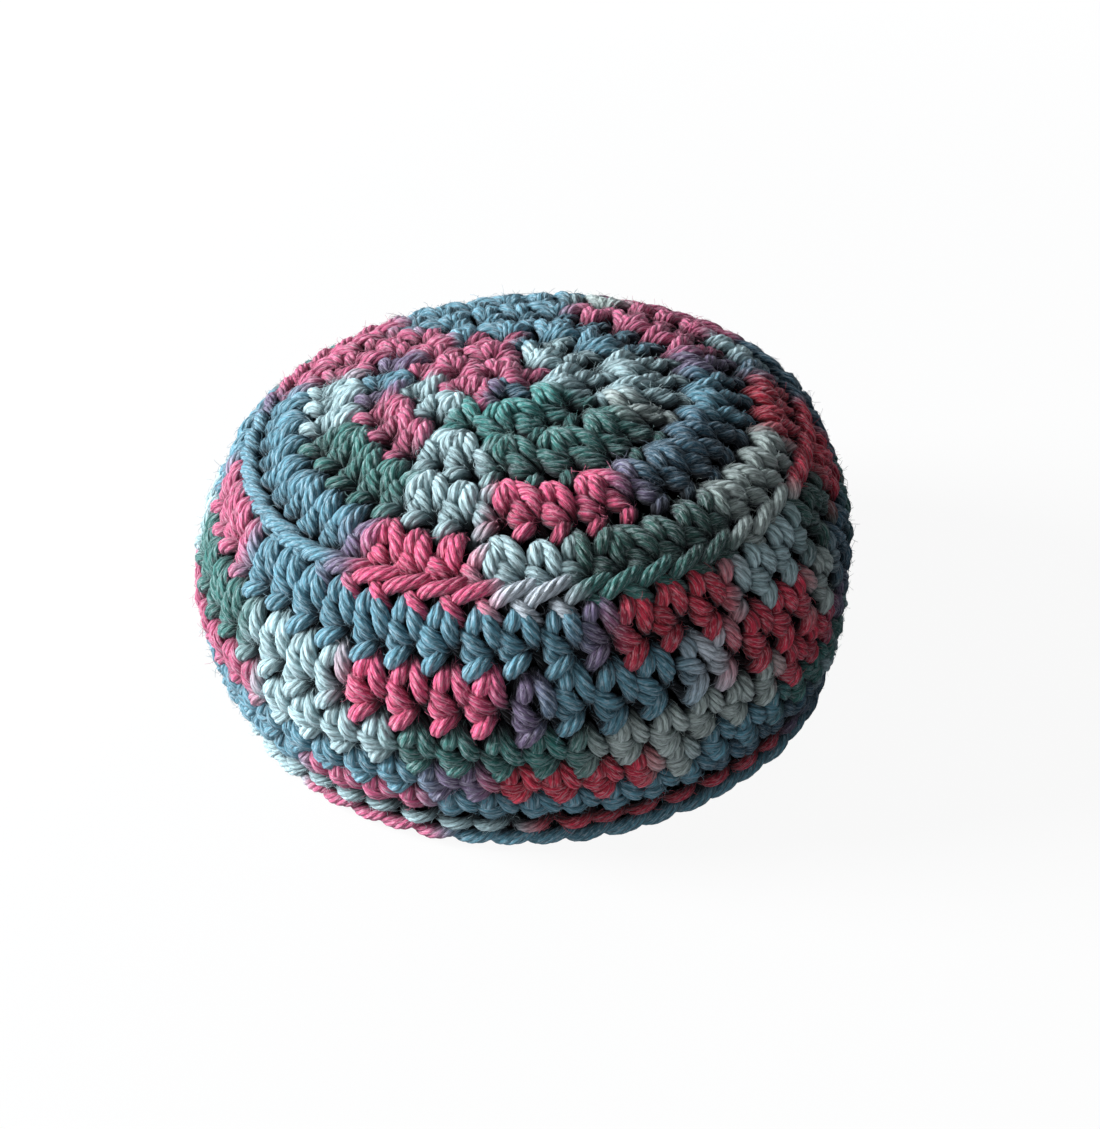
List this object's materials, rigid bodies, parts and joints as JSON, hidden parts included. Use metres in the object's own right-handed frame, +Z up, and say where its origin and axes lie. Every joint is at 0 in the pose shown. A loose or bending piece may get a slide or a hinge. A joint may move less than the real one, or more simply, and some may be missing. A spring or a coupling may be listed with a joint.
{
  "type": "crocheted footbag",
  "caption": "Drum-shaped crocheted footbag in space-dyed yarn, with a domed top, a raised rim ridge, a bulging side and a flat base, lined and filled with pellets.",
  "frame": {"origin": "centre of the base panel's flat underside, on the surface that the bag stands on", "axes": "+Z up along the bag's axis, from the base panel to the domed top; +Y runs away from the picture's camera"},
  "size_m": [0.0636, 0.0636, 0.0328],
  "materials": {
    "top_yarn": "plied cotton yarn, matt, slightly fuzzy",
    "ridge_yarn": "plied cotton yarn, matt, slightly fuzzy",
    "wall_yarn": "plied cotton yarn, matt, slightly fuzzy",
    "seam_yarn": "plied cotton yarn, matt, slightly fuzzy",
    "base_yarn": "plied cotton yarn, matt, slightly fuzzy",
    "lining_cloth": "plain dark woven cloth",
    "lining_thread": "sewing thread",
    "pellets": "satin pellets"
  },
  "bodies": {
    "root": {"top_panel": "top_yarn", "rim_ridge": "ridge_yarn", "side_wall": "wall_yarn", "base_seam": "seam_yarn", "base_panel": "base_yarn", "lining_top": "lining_cloth", "lining_bottom": "lining_cloth", "lining_seam": "lining_thread", "pellet_fill": "pellets"}
  },
  "joints": []
}
